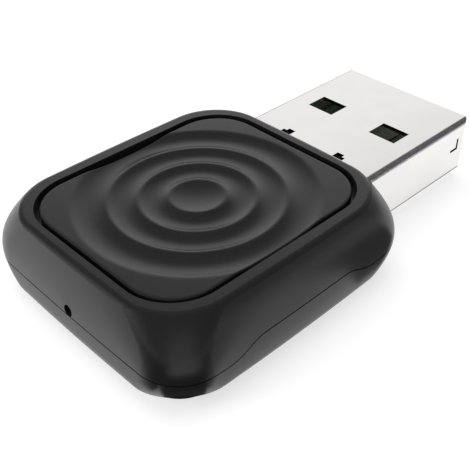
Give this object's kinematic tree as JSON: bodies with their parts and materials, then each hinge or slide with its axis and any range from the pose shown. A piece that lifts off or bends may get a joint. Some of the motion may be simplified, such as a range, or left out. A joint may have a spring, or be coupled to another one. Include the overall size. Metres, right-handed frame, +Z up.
{
  "type": "wireless car adapter dongle",
  "caption": "Small pillow-shaped black wireless adapter with a rippled cover plate, a status light hole and a metal USB-A plug at one end.",
  "frame": {"origin": "centre of the flat base, at its lowest plane", "axes": "+X out along the plug, +Z up from the base to the cover plate, +Y across"},
  "size_m": [0.0333, 0.0198, 0.0063],
  "materials": {
    "shell_plastic": "fine satin, near black",
    "plate_plastic": "smooth satin-gloss, near black",
    "plug_metal": "bright nickel plate on steel sheet",
    "insulator_plastic": "moulded, black",
    "contact_metal": "gilt",
    "board_laminate": "green lacquer",
    "chip_resin": "moulded resin",
    "inductor_core": "pressed grey core",
    "fuse_body": "moulded",
    "crystal_case": "plated lid",
    "antenna_ceramic": "fired, pale",
    "shield_metal": "tinned sheet",
    "capacitor_body": "fired, tan, with tinned ends",
    "resistor_body": "glazed black with tinned ends",
    "light_resin": "clear resin over a white case",
    "pad_rubber": "soft, grey",
    "tape_foam": "foam tape"
  },
  "bodies": {
    "root": {"upper_shell": "shell_plastic", "lower_shell": "shell_plastic", "ripple_plate": "plate_plastic", "plug_shell": "plug_metal", "plug_insulator": "insulator_plastic", "contact_power": "contact_metal", "contact_data_minus": "contact_metal", "contact_data_plus": "contact_metal", "contact_ground": "contact_metal", "circuit_board": "board_laminate", "main_processor": "chip_resin", "wireless_chip": "chip_resin", "surge_protector": "chip_resin", "power_regulator": "chip_resin", "flash_memory": "chip_resin", "working_memory": "chip_resin", "power_inductor": "inductor_core", "input_fuse": "fuse_body", "main_crystal": "crystal_case", "radio_crystal": "crystal_case", "chip_antenna": "antenna_ceramic", "wireless_shield_can": "shield_metal", "bulk_capacitors": "capacitor_body", "ceramic_capacitors": "capacitor_body", "chip_resistors": "resistor_body", "status_light": "light_resin", "thermal_pad": "pad_rubber", "plate_adhesive": "tape_foam"}
  },
  "joints": []
}
